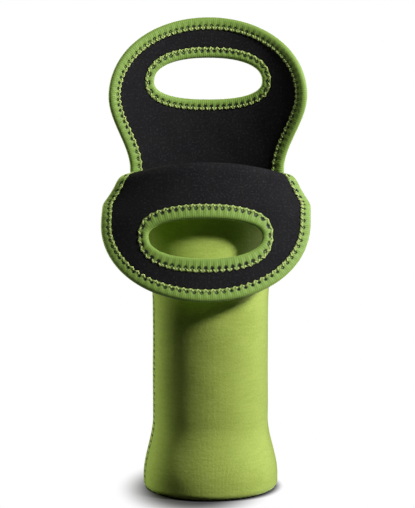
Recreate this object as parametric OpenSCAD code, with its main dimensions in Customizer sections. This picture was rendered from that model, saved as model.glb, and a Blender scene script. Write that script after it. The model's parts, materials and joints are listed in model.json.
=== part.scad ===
// Padded one-bottle carrier of laminated foam cloth, in millimetres.
// The origin is the centre of the base on the surface it stands on. +Z is up and -Y is the front.
// Two panels, front and back, are sewn into a round sleeve. Above the mouth each one is a handle flap:
// the front flap is folded outward and hangs, the back flap stands.

/* [Sleeve] */
// Outer radius of the sleeve
sleeve_r = 45.5; // [40:0.5:50]
// Outer radius of the belled foot
foot_r = 53.5; // [50:0.5:58]
// Radius of the rounded bottom edge
foot_edge_r = 6.2; // [6:0.1:10]
// Height where the bell is widest
foot_full_h = 11; // [10:1:20]
// Height where the bell has died out
foot_top_h = 58; // [50:1:64]
// Height where the round sleeve starts to flatten towards the mouth
neck_start_h = 150; // [130:1:165]
// How far the side seams of the round sleeve are turned about its axis
seam_turn = 10; // [0:0.5:12]
// Height below which the seams have their full turn
seam_turn_h = 120; // [100:5:150]

/* [Mouth] */
// Height of the mouth, at the top of the side seams
mouth_h = 247; // [235:1:260]
// Half the width of the mouth
mouth_half_w = 61; // [56:0.5:66]
// Half the depth of the mouth, front to back
mouth_half_d = 20; // [18:0.5:24]
// How far each panel's ends stand off the seam plane at the mouth
mouth_split = 5; // [5:0.1:6]
// Height over which the ends part below the mouth
split_h = 12; // [8:1:20]

/* [Cloth] */
// Thickness of the whole laminate
panel_t = 3.8; // [3.4:0.1:4.2]
// Thickness of the black jersey lining in it
lining_t = 0.8; // [0.5:0.1:1]
// Thickness of the jersey binding
binding_t = 1; // [0.8:0.1:1.2]
// Height of the binding's pressed inner border over the cloth
binding_lip_t = 0.5; // [0.4:0.1:0.6]
// Width of the binding on the flaps' outer edge
edge_binding_w = 8.5; // [7:0.5:10]
// Width of the binding round the hand holes
grip_binding_w = 7; // [6:0.5:8]

/* [Flaps] */
// Length of a flap from the mouth to its tip
flap_h = 129; // [120:1:140]
// Half the width of a flap, measured along the cloth
flap_half_w = 83.5; // [78:0.5:90]
// Height of the rounded end of a flap
flap_round_h = 59; // [50:1:66]
// Where the flare of a flap starts, above the mouth
flare_start_h = 8; // [4:1:14]
// Where the back flap reaches its full width
back_flare_end_h = 70; // [60:1:70]
// Where the front flap reaches its full width
front_flare_end_h = 53; // [50:1:70]
// Plan radius of the back flap across its widest part
back_flap_r = 135; // [120:5:200]
// Plan radius of the front flap across its widest part
front_flap_r = 180; // [140:5:260]
// How far the tip of the back flap leans back
back_lean = 8; // [0:0.5:10]

/* [Fold of the front flap] */
// Rise of the front panel above the mouth before it folds, at the middle
fold_rise = 11.7; // [9:0.1:14]
// How much lower the fold is at its ends
fold_arch = 11; // [8:0.1:11]
// Inner radius of the fold
fold_r = 4; // [4:0.1:6]
// Angle of the hanging flap from the vertical
hang_angle = 19; // [17:0.5:24]
// Share of the fold's arch that is gone where the flap is widest
straighten_share = 0.82; // [0.6:0.01:0.9]

/* [Hand holes] */
// Half the width of the opening in a bound hand hole
grip_half_w = 44.5; // [40:0.5:46]
// Height of the opening above its widest line
grip_up_h = 18; // [15:0.5:19]
// Height of the opening below its widest line
grip_down_h = 15; // [12:0.5:16]
// Height of its widest line above the mouth
grip_line_h = 80; // [78:1:82]
// Roundness of its outline, where 2 is an ellipse
grip_power = 2.3; // [2:0.1:3]

/* [Stitching] */
// Length of one zigzag stitch along the seam
stitch_pitch = 4.9; // [4.5:0.1:6]
// Width of the side seams' zigzag
seam_stitch_w = 5; // [4:0.5:6]
// Width of the base seam's zigzag
base_stitch_w = 2.6; // [2:0.1:3]
// Thickness of the thread
thread_t = 0.6; // [0.4:0.1:0.8]
// How far the binding's zigzag starts inside the binding's inner border
stitch_in = 2.4; // [2:0.1:3]
// How far it reaches past that border over the lining
stitch_out = 2.2; // [1.5:0.1:3]
// Height of the first stitch of a side seam above the base
seam_start_h = 10; // [9:1:20]

/* [Clearances] */
// Gap between two cut edges that butt at a seam
seam_gap = 0.15; // [0.1:0.05:0.3]
// Gap between layers that are bonded or bound
bond_gap = 0.1; // [0.05:0.05:0.15]
// Gap under the binding
binding_gap = 0.25; // [0.2:0.05:0.3]
// Gap between a moving flap and the cloth it continues
root_gap = 0.9; // [0.7:0.1:0.9]
// Extra height of the back flap's lower edge at its ends, which lets it lean forward
root_end_gap = 1.8; // [1.6:0.1:3]
// Gap between thread and cloth
thread_gap = 0.25; // [0.15:0.05:0.3]

/* [Hidden] */

FRONT = -1;
BACK = 1;
green = [0.56, 0.64, 0.27];
black = [0.11, 0.11, 0.11];
pale_green = [0.72, 0.80, 0.45];

// Facet counts
panel_cols = 16;
foot_rows = 4;
bell_rows = 6;
barrel_rows = 2;
neck_rows = 6;
fold_rows = 6;
flare_cols = 8;
round_cols = 22;
root_cols = 12;
ring_rows = 5;
grip_cols = 34;
table_steps = 120;

// Angle in degrees of an arc
function arc_angle(arc, r) = arc / r * 180 / PI;

// Length of an arc of that many degrees
function arc_length(r, angle) = r * angle * PI / 180;

// Share that runs smoothly from 0 to 1 while t does
function smooth(t) = let (c = min(1, max(0, t))) c * c * (3 - 2 * c);

function unit(v) = v / norm(v);

// The mouth in plan: two arcs, each mouth_half_w wide and this deep
mouth_sag = mouth_half_d - mouth_split;
mouth_arc_angle = 2 * atan(mouth_sag / mouth_half_w);
mouth_r = mouth_half_w / sin(mouth_arc_angle);
mouth_half_arc = arc_length(mouth_r, mouth_arc_angle);

shell_t = panel_t - lining_t;
wide_h = flap_h - flap_round_h;
fold_mid_r = fold_r + panel_t / 2;
fold_angle = 180 - hang_angle;
fold_arc = arc_length(fold_mid_r, fold_angle);
front_root_h = fold_rise + fold_arc;
lift_start_h = mouth_h - 4 * split_h;

// The cloth of the sleeve, turned about the axis by the seams' turn at its height
function turned(p) =
    let (a = seam_turn * smooth((mouth_h - split_h - p.z) / (mouth_h - split_h - seam_turn_h)))
    [p.x * cos(a) - p.y * sin(a), p.x * sin(a) + p.y * cos(a), p.z];

// Plan of the sleeve at height z: half width, half depth and how far the panels' ends are apart
function foot_flare(z) = (foot_r - sleeve_r) * smooth((foot_top_h - z) / (foot_top_h - foot_full_h));
function neck_share(z) = smooth((z - neck_start_h) / (mouth_h - neck_start_h));
function half_w(z) = sleeve_r + foot_flare(z) + (mouth_half_w - sleeve_r) * neck_share(z);
function half_d(z) = sleeve_r + foot_flare(z) + (mouth_half_d - sleeve_r) * neck_share(z);
function end_off(z) = mouth_split * smooth((z - mouth_h + split_h) / split_h);

// Point of a panel on a plan arc of radius r, whose centre lies c behind the seam plane.
// t runs from -1 at the left seam to 1 at the right one, and d is the depth below the outer face.
function plan_point(side, t, r, c, widest, d, z) =
    let (
        edge = min(widest, acos(min(1, (c + seam_gap) / (r - d)))),
        a = t * edge
    )
    [(r - d) * sin(a), side * ((r - d) * cos(a) - c), z];

// Point of the sleeve's wall. The front panel's wall rises by lift at its middle.
function wall_point(side, t, z, d, lift = 0) =
    let (
        e = end_off(z),
        widest = 2 * atan((half_d(z) - e) / half_w(z)),
        r = half_w(z) / sin(widest),
        c = r * cos(widest) - e
    )
    turned(plan_point(side, t, r, c, widest, d, z + lift * smooth((z - lift_start_h) / (mouth_h - lift_start_h))));

// Point of the rounded bottom edge, where q is 90 at the base seam and 0 where the wall starts
function foot_point(side, t, q, d) =
    let (r = foot_r - foot_edge_r + (foot_edge_r - d) * cos(q))
    turned(plan_point(side, t, r, 0, 90, 0, foot_edge_r - (foot_edge_r - d) * sin(q)));

// Plan radius of a flap at pattern height h
function plan_r(side, h) =
    let (wide_r = side == FRONT ? front_flap_r : back_flap_r)
    1 / (1 / mouth_r + (1 / wide_r - 1 / mouth_r) * smooth(h / wide_h));

// How far the folded front flap lies below its middle at u
function arch_drop(u, h) =
    fold_arch * pow(u / mouth_half_arc, 2)
    * (1 - straighten_share * smooth((h - front_root_h) / (wide_h - front_root_h)));

// Point of the green face of a flap. u runs across the pattern and h up from the mouth.
function back_face(u, h) =
    let (r = plan_r(BACK, h), a = arc_angle(u, r))
    [r * sin(a), mouth_half_d - r * (1 - cos(a)) + back_lean * pow(h / flap_h, 2), mouth_h + h];

function front_face(u, h) =
    let (
        r = plan_r(FRONT, h),
        a = arc_angle(u, r),
        y = -mouth_half_d + r * (1 - cos(a)),
        z = mouth_h + fold_rise - arch_drop(u, h),
        bent = min(fold_angle, max(0, arc_angle(h - fold_rise, fold_mid_r))),
        past = max(0, h - front_root_h),
        short = max(0, fold_rise - h)
    )
    [
        r * sin(a),
        y - fold_r * (1 - cos(bent)) - past * sin(hang_angle),
        z - short + fold_r * sin(bent) - past * cos(hang_angle)
    ];

function flap_face(side, u, h) = side == FRONT ? front_face(u, h) : back_face(u, h);

// Point at depth d below the green face, along the face's own normal
probe = panel_t / 20;
function flap_point(side, u, h, d) =
    let (
        p = flap_face(side, u, h),
        across = flap_face(side, u + probe, h) - flap_face(side, u - probe, h),
        along = flap_face(side, u, h + probe) - flap_face(side, u, h - probe),
        inward = unit(cross(along, across)) * -side
    )
    p + d * inward;

// Half width of a flap's pattern at height h
function pattern_half_w(side, h) =
    let (end_h = side == FRONT ? front_flare_end_h : back_flare_end_h)
    mouth_half_arc + (flap_half_w - mouth_half_arc) * smooth((h - flare_start_h) / (end_h - flare_start_h));

// Outline of a flap's pattern, as t runs from 0 at the left root over the tip to 1 at the right root
flare_share = 0.18;
function outline(side, t, root_h) =
    t < flare_share
        ? let (h = root_h + (wide_h - root_h) * t / flare_share)
            [-pattern_half_w(side, h), h]
    : t > 1 - flare_share
        ? let (h = root_h + (wide_h - root_h) * (1 - t) / flare_share)
            [pattern_half_w(side, h), h]
    : let (a = -90 + 180 * (t - flare_share) / (1 - 2 * flare_share))
        [flap_half_w * sin(a), wide_h + flap_round_h * cos(a)];

// Outline of a hand hole's cut edge in direction a from the middle of its widest line
function grip_radius(a) =
    let (
        up = (sin(a) > 0 ? grip_up_h : grip_down_h) + binding_t,
        wide = grip_half_w + binding_t
    )
    pow(pow(abs(cos(a)) / wide, grip_power) + pow(abs(sin(a)) / up, grip_power), -1 / grip_power);

function grip_outline(a) = [0, grip_line_h] + grip_radius(a) * [cos(a), sin(a)];

// Table from length along a path to its parameter, which spaces stitches evenly
function path_table(path) = [
    for (
        i = 0, s = 0;
        i <= table_steps;
        i = i + 1, s = s + norm(path(min(1, i / table_steps)) - path((i - 1) / table_steps))
    ) [s, i / table_steps]
];
function path_length(table) = table[table_steps][0];

// Point on a path and the unit vector to its right, as [point, right]
function path_frame(path, t) =
    let (
        step = 1 / table_steps / 4,
        v = path(min(1, t + step)) - path(max(0, t - step))
    )
    [path(t), unit([v.y, -v.x])];

function edge_path(side, root_h) = function (t) outline(side, t, root_h);
grip_path = function (t) grip_outline(-360 * t);

// Closed solid between two grids of points. Rows are the first index; ring joins the last column to the first.
module slab(top, bottom, ring = false) {
    rows = len(top);
    cols = len(top[0]);
    count = rows * cols;
    steps = ring ? cols : cols - 1;
    function at(r, c, face) = face * count + r * cols + c % cols;
    function quad(a, b, c, d) = [[a, b, c], [a, c, d]];
    faces = [
        for (r = [0:rows - 2], c = [0:steps - 1])
            each quad(at(r, c, 0), at(r, c + 1, 0), at(r + 1, c + 1, 0), at(r + 1, c, 0)),
        for (r = [0:rows - 2], c = [0:steps - 1])
            each quad(at(r, c, 1), at(r + 1, c, 1), at(r + 1, c + 1, 1), at(r, c + 1, 1)),
        for (c = [0:steps - 1])
            each quad(at(0, c, 1), at(0, c + 1, 1), at(0, c + 1, 0), at(0, c, 0)),
        for (c = [0:steps - 1])
            each quad(at(rows - 1, c, 0), at(rows - 1, c + 1, 0), at(rows - 1, c + 1, 1), at(rows - 1, c, 1)),
        if (!ring)
            for (r = [0:rows - 2])
                each quad(at(r, 0, 0), at(r + 1, 0, 0), at(r + 1, 0, 1), at(r, 0, 1)),
        if (!ring)
            for (r = [0:rows - 2])
                each quad(at(r, cols - 1, 1), at(r + 1, cols - 1, 1), at(r + 1, cols - 1, 0), at(r, cols - 1, 0))
    ];
    polyhedron(points = [for (grid = [top, bottom]) for (row = grid) each row], faces = faces);
}

// Heights of the wall's rows of facets
wall_heights = [
    for (i = [0:bell_rows]) foot_edge_r + (foot_top_h - foot_edge_r) * i / bell_rows,
    for (i = [1:barrel_rows]) foot_top_h + (neck_start_h - foot_top_h) * i / barrel_rows,
    for (i = [1:neck_rows]) neck_start_h + (mouth_h - split_h - neck_start_h) * i / neck_rows,
    mouth_h - split_h / 2,
    mouth_h
];

function across_shares(n) = [for (i = [0:n]) 2 * i / n - 1];

// One face of a sleeve panel at depth d, from the base seam to the mouth
function sleeve_grid(side, d) = [
    for (i = [0:foot_rows - 1])
        [for (t = across_shares(panel_cols)) foot_point(side, t, 90 - 90 * i / foot_rows, d)],
    for (z = wall_heights)
        [
            for (t = across_shares(panel_cols))
                wall_point(side, t, z, d, side == FRONT ? fold_rise - fold_arch * t * t : 0)
        ]
];

module sleeve_layer(side, outer_d, inner_d) {
    outer = sleeve_grid(side, outer_d);
    inner = sleeve_grid(side, inner_d);
    if (side == FRONT)
        slab(inner, outer);
    else
        slab(outer, inner);
}

module front_sleeve_shell() {
    color(green) sleeve_layer(FRONT, 0, shell_t);
}

module back_sleeve_shell() {
    color(green) sleeve_layer(BACK, 0, shell_t);
}

module front_sleeve_lining() {
    color(black) sleeve_layer(FRONT, shell_t + bond_gap, panel_t);
}

module back_sleeve_lining() {
    color(black) sleeve_layer(BACK, shell_t + bond_gap, panel_t);
}

// The part of the front panel that bends over outward. It joins the sleeve to the hanging flap.
fold_start_h = fold_rise + root_gap / 4;
fold_end_h = front_root_h - root_gap / 4;

function fold_grid(d) = [
    for (i = [0:fold_rows])
        let (h = fold_start_h + (fold_end_h - fold_start_h) * i / fold_rows)
        [for (t = across_shares(panel_cols)) flap_point(FRONT, t * pattern_half_w(FRONT, h), h, d)]
];

module front_fold_shell() {
    color(green) slab(fold_grid(shell_t), fold_grid(0));
}

module front_fold_lining() {
    color(black) slab(fold_grid(panel_t), fold_grid(shell_t + bond_gap));
}

// Base panel, in two layers
base_r = (foot_r - foot_edge_r) * cos(90 / panel_cols) - seam_gap;

module base_shell() {
    color(green) cylinder(h = shell_t, r = base_r, $fn = 4 * panel_cols);
}

module base_lining() {
    color(black)
        translate([0, 0, shell_t + bond_gap])
            cylinder(h = lining_t - bond_gap, r = base_r, $fn = 4 * panel_cols);
}

// Flap panels: rings of points from the hand hole to the outline, which is closed along the root
function root_lift(side, u) = side == BACK ? root_end_gap * pow(u / mouth_half_arc, 2) : 0;
function root_h(side) = side == FRONT ? front_root_h + root_gap / 4 : root_gap;
function root_end_h(side) = root_h(side) + root_lift(side, mouth_half_arc);

edge_shares = [
    for (i = [0:flare_cols - 1]) flare_share * i / flare_cols,
    for (i = [0:round_cols - 1]) flare_share + (1 - 2 * flare_share) * i / round_cols,
    for (i = [0:flare_cols]) 1 - flare_share + flare_share * i / flare_cols
];

function flap_loop(side) =
    let (low = root_end_h(side), end = outline(side, 1, low).x)
    [
        for (t = edge_shares) outline(side, t, low),
        for (i = [1:root_cols - 1])
            let (u = end * (1 - 2 * i / root_cols))
            [u, root_h(side) + root_lift(side, u) * pow(mouth_half_arc / end, 2)]
    ];

function flap_grid(side, d) =
    let (loop = flap_loop(side), middle = [0, grip_line_h])
    [
        for (i = [0:ring_rows])
            [
                for (p = loop)
                    let (
                        v = p - middle,
                        hole = grip_outline(atan2(v.y, v.x)),
                        q = hole + (p - hole) * i / ring_rows
                    )
                    flap_point(side, q.x, q.y, d)
            ]
    ];

module flap_layer(side, outer_d, inner_d) {
    outer = flap_grid(side, outer_d);
    inner = flap_grid(side, inner_d);
    if (side == FRONT)
        slab(inner, outer, ring = true);
    else
        slab(outer, inner, ring = true);
}

module front_flap_shell() {
    color(green) flap_layer(FRONT, 0, shell_t);
}

module back_flap_shell() {
    color(green) flap_layer(BACK, 0, shell_t);
}

module front_flap_lining() {
    color(black) flap_layer(FRONT, shell_t + bond_gap, panel_t);
}

module back_flap_lining() {
    color(black) flap_layer(BACK, shell_t + bond_gap, panel_t);
}

// Section of a binding that wraps a cut edge: places as [inward from the edge, depth below the green face]
binding_round_shares = [0.7, 1, 0.7];
function binding_outer(w) = [
    [w, -binding_lip_t],
    [w - stitch_in, -binding_t],
    [binding_t, -binding_t],
    [-binding_t * binding_round_shares[0], panel_t / 8],
    [-binding_t * binding_round_shares[1], panel_t / 2],
    [-binding_t * binding_round_shares[2], panel_t - panel_t / 8],
    [binding_t, panel_t + binding_t],
    [w - stitch_in, panel_t + binding_t],
    [w, panel_t + binding_lip_t]
];
function binding_inner(w) = [
    [w, -binding_gap],
    [w - stitch_in, -binding_gap],
    [binding_t, -binding_gap],
    [-binding_gap, -binding_gap],
    [-binding_gap, panel_t / 2],
    [-binding_gap, panel_t + binding_gap],
    [binding_t, panel_t + binding_gap],
    [w - stitch_in, panel_t + binding_gap],
    [w, panel_t + binding_gap]
];

// The binding's section swept along a pattern path, as rows of the section and columns of the path
function binding_grid(side, frames, section) = [
    for (s = section)
        [
            for (f = frames)
                let (p = f[0] + s.x * f[1])
                flap_point(side, p.x, p.y, s.y)
        ]
];

module binding(side, frames, w, ring = false) {
    outer = binding_grid(side, frames, binding_outer(w));
    inner = binding_grid(side, frames, binding_inner(w));
    if (side == FRONT)
        slab(inner, outer, ring);
    else
        slab(outer, inner, ring);
}

function even_frames(path, first, last, n) =
    let (table = path_table(path), total = path_length(table))
    [for (i = [0:n]) path_frame(path, lookup(total * (first + (last - first) * i / n), table))];

// An edge binding's section is level at the root, where the next stretch of cloth begins
function edge_frame(path, t) =
    let (
        f = path_frame(path, t),
        level = [t < 1 / 2 ? 1 : -1, 0],
        share = smooth(2 * min(t, 1 - t) / flare_share)
    )
    [f[0], unit(level + share * (f[1] - level))];

module edge_binding(side) {
    path = edge_path(side, root_end_h(side));
    binding(side, [for (t = edge_shares) edge_frame(path, t)], edge_binding_w);
}

module front_flap_binding() {
    color(green) edge_binding(FRONT);
}

module back_flap_binding() {
    color(green) edge_binding(BACK);
}

// The binding's two short stretches over the fold
module front_fold_binding() {
    heights = [for (i = [0:fold_rows]) fold_start_h + (fold_end_h - fold_start_h) * i / fold_rows];
    left = [for (h = heights) [[-pattern_half_w(FRONT, h), h], [1, 0]]];
    right = [for (i = [fold_rows:-1:0]) [[pattern_half_w(FRONT, heights[i]), heights[i]], [-1, 0]]];
    color(green) {
        binding(FRONT, left, edge_binding_w);
        binding(FRONT, right, edge_binding_w);
    }
}

// Frames round a hand hole point away from the hole, into the cloth
grip_frames = [
    for (f = even_frames(grip_path, 0, 1 - 1 / grip_cols, grip_cols - 1)) [f[0], -f[1]]
];

module grip_binding(side) {
    outer = binding_grid(side, grip_frames, binding_outer(grip_binding_w));
    inner = binding_grid(side, grip_frames, binding_inner(grip_binding_w));
    if (side == FRONT)
        slab(outer, inner, ring = true);
    else
        slab(inner, outer, ring = true);
}

module front_grip_binding() {
    color(green) grip_binding(FRONT);
}

module back_grip_binding() {
    color(green) grip_binding(BACK);
}

// Zigzag thread as one solid: rows are its two sides, columns the turns of the thread
module zigzag(side, left, right, left_low, right_low, ring = false) {
    if (side == FRONT)
        slab([left, right], [left_low, right_low], ring);
    else
        slab([right, left], [right_low, left_low], ring);
}

// Turns of the thread along a binding. Even turns lie on the binding and odd ones on the lining.
function stitch_frames(path, w, ring) =
    let (
        turns = 2 * round(path_length(path_table(path)) / stitch_pitch),
        n = ring ? turns - 1 : turns,
        frames = even_frames(path, 0, ring ? 1 - 1 / turns : 1, n)
    )
    [
        for (i = [0:n])
            let (on = i % 2 == 0)
            [
                frames[i][0],
                frames[i][1],
                on ? w - stitch_in : w + stitch_out,
                panel_t + (on ? binding_t : 0) + thread_gap
            ]
    ];

function stitch_side(side, frames, shift, raise, turn) = [
    for (f = frames)
        let (p = f[0] + (f[2] + shift) * turn * f[1])
        flap_point(side, p.x, p.y, f[3] + raise)
];

module binding_stitching(side, path, w, ring = false) {
    frames = stitch_frames(path, w, ring);
    turn = ring ? -1 : 1;
    near = stitch_side(side, frames, -thread_t, 0, turn);
    far = stitch_side(side, frames, thread_t, 0, turn);
    near_top = stitch_side(side, frames, -thread_t, thread_t, turn);
    far_top = stitch_side(side, frames, thread_t, thread_t, turn);
    if (turn == 1)
        zigzag(side, far_top, near_top, far, near, ring);
    else
        zigzag(side, near_top, far_top, near, far, ring);
}

module front_flap_stitching() {
    color(pale_green) binding_stitching(FRONT, edge_path(FRONT, root_end_h(FRONT)), edge_binding_w);
}

module back_flap_stitching() {
    color(pale_green) binding_stitching(BACK, edge_path(BACK, root_end_h(BACK)), edge_binding_w);
}

module front_grip_stitching() {
    color(pale_green) binding_stitching(FRONT, grip_path, grip_binding_w, ring = true);
}

module back_grip_stitching() {
    color(pale_green) binding_stitching(BACK, grip_path, grip_binding_w, ring = true);
}

// A side seam's zigzag crosses from panel to panel on the outside. hand is -1 left and 1 right.
function seam_point(hand, z, off, depth) =
    let (
        side = off < 0 ? FRONT : BACK,
        r = half_w(z),
        t = hand * (1 - arc_angle(abs(off), r) / 90)
    )
    wall_point(side, t, z, depth);

module seam_stitching(hand) {
    turns = 2 * round((mouth_h - split_h - seam_start_h) / stitch_pitch);
    rise = (mouth_h - split_h - seam_start_h) / turns;

    // Every other point of the thread lies on the seam itself, between two turns
    function side_points(shift, depth) = [
        for (i = [0:2 * turns])
            let (
                swing = i % 2 == 1 ? 0 : i % 4 == 0 ? -1 : 1,
                lifted = depth - (1 - abs(swing)) * thread_t / 2
            )
            seam_point(hand, seam_start_h + rise * i / 2, swing * seam_stitch_w / 2 + shift, lifted)
    ];
    front = side_points(-thread_t, -thread_gap);
    back = side_points(thread_t, -thread_gap);
    front_top = side_points(-thread_t, -thread_gap - thread_t);
    back_top = side_points(thread_t, -thread_gap - thread_t);
    if (hand < 0)
        slab([back_top, front_top], [back, front]);
    else
        slab([front_top, back_top], [front, back]);
}

module left_seam_stitching() {
    color(pale_green) seam_stitching(-1);
}

module right_seam_stitching() {
    color(pale_green) seam_stitching(1);
}

// The base seam's zigzag lies on the lining, inside
module base_seam_stitching() {
    turns = 2 * round(2 * PI * base_r / stitch_pitch / 2);
    function ring_points(shift, raise) = [
        for (i = [0:turns - 1])
            let (
                off = (i % 2 == 0 ? -1 : 1) * base_stitch_w / 2 + shift,
                a = 360 * i / turns,
                r = base_r + off,
                low = foot_edge_r - sqrt(pow(foot_edge_r - panel_t, 2) - pow(min(foot_edge_r - panel_t, max(0, off)), 2))
            )
            [r * cos(a), r * sin(a), low + thread_gap + raise]
    ];
    color(pale_green)
        slab(
            [ring_points(-thread_t, thread_t), ring_points(thread_t, thread_t)],
            [ring_points(-thread_t, 0), ring_points(thread_t, 0)],
            ring = true
        );
}

front_sleeve_shell();
back_sleeve_shell();
front_sleeve_lining();
back_sleeve_lining();
front_fold_shell();
front_fold_lining();
front_fold_binding();
base_shell();
base_lining();
front_flap_shell();
back_flap_shell();
front_flap_lining();
back_flap_lining();
front_flap_binding();
back_flap_binding();
front_grip_binding();
back_grip_binding();
left_seam_stitching();
right_seam_stitching();
base_seam_stitching();
front_flap_stitching();
back_flap_stitching();
front_grip_stitching();
back_grip_stitching();
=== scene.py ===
# %% [markdown]
# # A padded carrier with two handle flaps
# The carrier is cut from foam cloth: a sheet of foam with green knit jersey on one face and
# black knit jersey on the other. Two panels make a round sleeve with a belled foot, and above
# the mouth each panel widens into a handle flap with a hand hole. The front flap hangs folded
# over, and the back flap stands. This lesson builds each piece as a mesh from plain formulas,
# in the same frame as the measured model, so that every piece lands where the model says.

# %% Load the measured model
import json
import math

import bpy
import numpy as np
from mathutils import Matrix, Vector

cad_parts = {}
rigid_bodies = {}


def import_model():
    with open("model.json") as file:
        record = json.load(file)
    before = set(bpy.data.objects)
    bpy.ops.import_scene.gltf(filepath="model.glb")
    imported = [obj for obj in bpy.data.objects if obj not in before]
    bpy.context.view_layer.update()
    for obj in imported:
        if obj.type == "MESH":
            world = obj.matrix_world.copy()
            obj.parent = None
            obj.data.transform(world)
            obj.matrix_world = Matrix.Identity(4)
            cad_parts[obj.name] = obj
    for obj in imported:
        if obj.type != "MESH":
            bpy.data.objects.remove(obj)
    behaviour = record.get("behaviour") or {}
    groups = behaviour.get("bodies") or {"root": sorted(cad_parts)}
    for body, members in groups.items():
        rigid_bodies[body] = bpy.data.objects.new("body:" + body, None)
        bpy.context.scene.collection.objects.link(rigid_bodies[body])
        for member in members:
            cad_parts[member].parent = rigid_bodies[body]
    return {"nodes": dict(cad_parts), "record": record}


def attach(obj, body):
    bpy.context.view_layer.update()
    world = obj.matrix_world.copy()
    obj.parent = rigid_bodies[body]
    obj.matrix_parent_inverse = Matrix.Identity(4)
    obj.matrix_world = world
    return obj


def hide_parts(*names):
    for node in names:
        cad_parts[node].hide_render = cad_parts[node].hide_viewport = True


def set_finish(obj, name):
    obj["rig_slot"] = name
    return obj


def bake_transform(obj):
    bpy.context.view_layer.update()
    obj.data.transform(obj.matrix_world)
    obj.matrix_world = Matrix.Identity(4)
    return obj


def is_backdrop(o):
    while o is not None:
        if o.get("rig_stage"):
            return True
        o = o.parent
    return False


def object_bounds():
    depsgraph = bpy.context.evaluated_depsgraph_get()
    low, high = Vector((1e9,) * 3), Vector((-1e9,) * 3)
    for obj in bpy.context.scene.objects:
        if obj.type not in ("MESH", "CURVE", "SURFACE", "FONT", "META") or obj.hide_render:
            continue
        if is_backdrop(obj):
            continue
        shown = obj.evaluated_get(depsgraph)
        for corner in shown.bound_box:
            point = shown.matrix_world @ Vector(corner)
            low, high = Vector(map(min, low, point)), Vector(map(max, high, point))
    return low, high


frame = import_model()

cad_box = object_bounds()

# %% [markdown]
# ## Measures
# All lengths are in millimetres, and they turn into metres only when a mesh is made. Most repeat
# the measured model's own values. A few edges differ from it by a millimetre or two, because
# soft cloth is never quite even. In the names, h is a height on the pattern above the mouth, u a
# place across it and v a length up the sleeve.

# %% Measures of the sleeve
MM = 0.001
FRONT, BACK = -1, 1
SIDES = ((FRONT, "front"), (BACK, "back"))
SLEEVE_R, FOOT_R, FOOT_EDGE_R = 45.5, 53.5, 5.4
FOOT_FULL_H, FOOT_TOP_H = 11.0, 58.0
NECK_H, MOUTH_H = 150.0, 247.0
MOUTH_HALF_W, MOUTH_HALF_D = 61.0, 20.0
PANEL_T, LINING_T, SEAM_GAP = 3.8, 0.8, 0.15
SHELL_D = PANEL_T - LINING_T
# The panels part over the last stretch below the mouth, where each goes this far from the seam.
SPLIT_H, MOUTH_SPLIT = 12.0, 5.0
# Below the split the seams turn about the axis, on the left towards the viewer, and the turn is
# full from this height down.
SEAM_TURN, SEAM_TURN_H = math.radians(10.0), 120.0
# The wall's last stretch rises in the middle and meets the arch of the fold.
ARCH_FROM = 48.0
UNDER_V = FOOT_EDGE_R * math.pi / 2
SLEEVE_V = UNDER_V + MOUTH_H - FOOT_EDGE_R
print("sleeve panel", round(SLEEVE_V, 1), "mm tall as cut")

# %% Measures of the flaps and the fold
WIDE_H, FLAP_HALF_W, FLAP_ROUND_H = 70.0, 83.5, {FRONT: 61.4, BACK: 59.0}
FLARE_START_H, FLARE_END_H = {FRONT: 4.0, BACK: 11.0}, {FRONT: 51.5, BACK: 70.0}
FLAP_WIDE_R = {FRONT: 180.0, BACK: 135.0}
BACK_LEAN, FLAP_H = 8.0, 129.0
FOLD_RISE, FOLD_ARCH, FOLD_R = 11.7, 11.0, 4.0
HANG = math.radians(19.0)
# Share of the fold's arch that is gone where the hanging flap is widest.
STRAIGHTEN = 0.82
# The carrier isn't quite symmetric: the mouth stands aside to the left, and each flap differs a little.
ASIDE, FRONT_ASIDE, BACK_ASIDE = -2.8, -1.2, 1.2
FRONT_ASIDE_OVER = 60.0

MOUTH_ANGLE = 2 * math.atan((MOUTH_HALF_D - MOUTH_SPLIT) / MOUTH_HALF_W)
MOUTH_R = MOUTH_HALF_W / math.sin(MOUTH_ANGLE)
MOUTH_HALF_ARC = MOUTH_R * MOUTH_ANGLE
FOLD_MID_R = FOLD_R + PANEL_T / 2
FOLD_TURN = math.pi - HANG
FOLD_LENGTH = FOLD_MID_R * FOLD_TURN
ROOT_H = {FRONT: FOLD_RISE + FOLD_LENGTH, BACK: 0.0}
print("mouth arc", round(2 * MOUTH_HALF_ARC, 1), "mm, fold", round(FOLD_LENGTH, 1), "mm of cloth")

# %% [markdown]
# ## The surfaces
# A bag is a sheet that bends, so each panel is written as a function from its flat pattern to
# space. The sleeve goes from a circle at the foot to two shallow arcs at the mouth. A flap goes
# on from its arc, and the front one bends over outward on a small radius and hangs. The depth
# d runs from the green face at 0 to the black face at the thickness of the cloth. A sculpted
# mesh could have the same look, but a formula keeps every layer, band and stitch in contact.

# %% Sleeve surface
def smooth(t):
    t = np.clip(t, 0.0, 1.0)
    return t * t * (3 - 2 * t)


def foot_flare(z):
    return (FOOT_R - SLEEVE_R) * smooth((FOOT_TOP_H - z) / (FOOT_TOP_H - FOOT_FULL_H))


def neck_share(z):
    return smooth((z - NECK_H) / (MOUTH_H - NECK_H))


def turned(x, y, z):
    a = SEAM_TURN * smooth((MOUTH_H - SPLIT_H - z) / (MOUTH_H - SPLIT_H - SEAM_TURN_H))
    return x * np.cos(a) - y * np.sin(a), x * np.sin(a) + y * np.cos(a)


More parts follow.
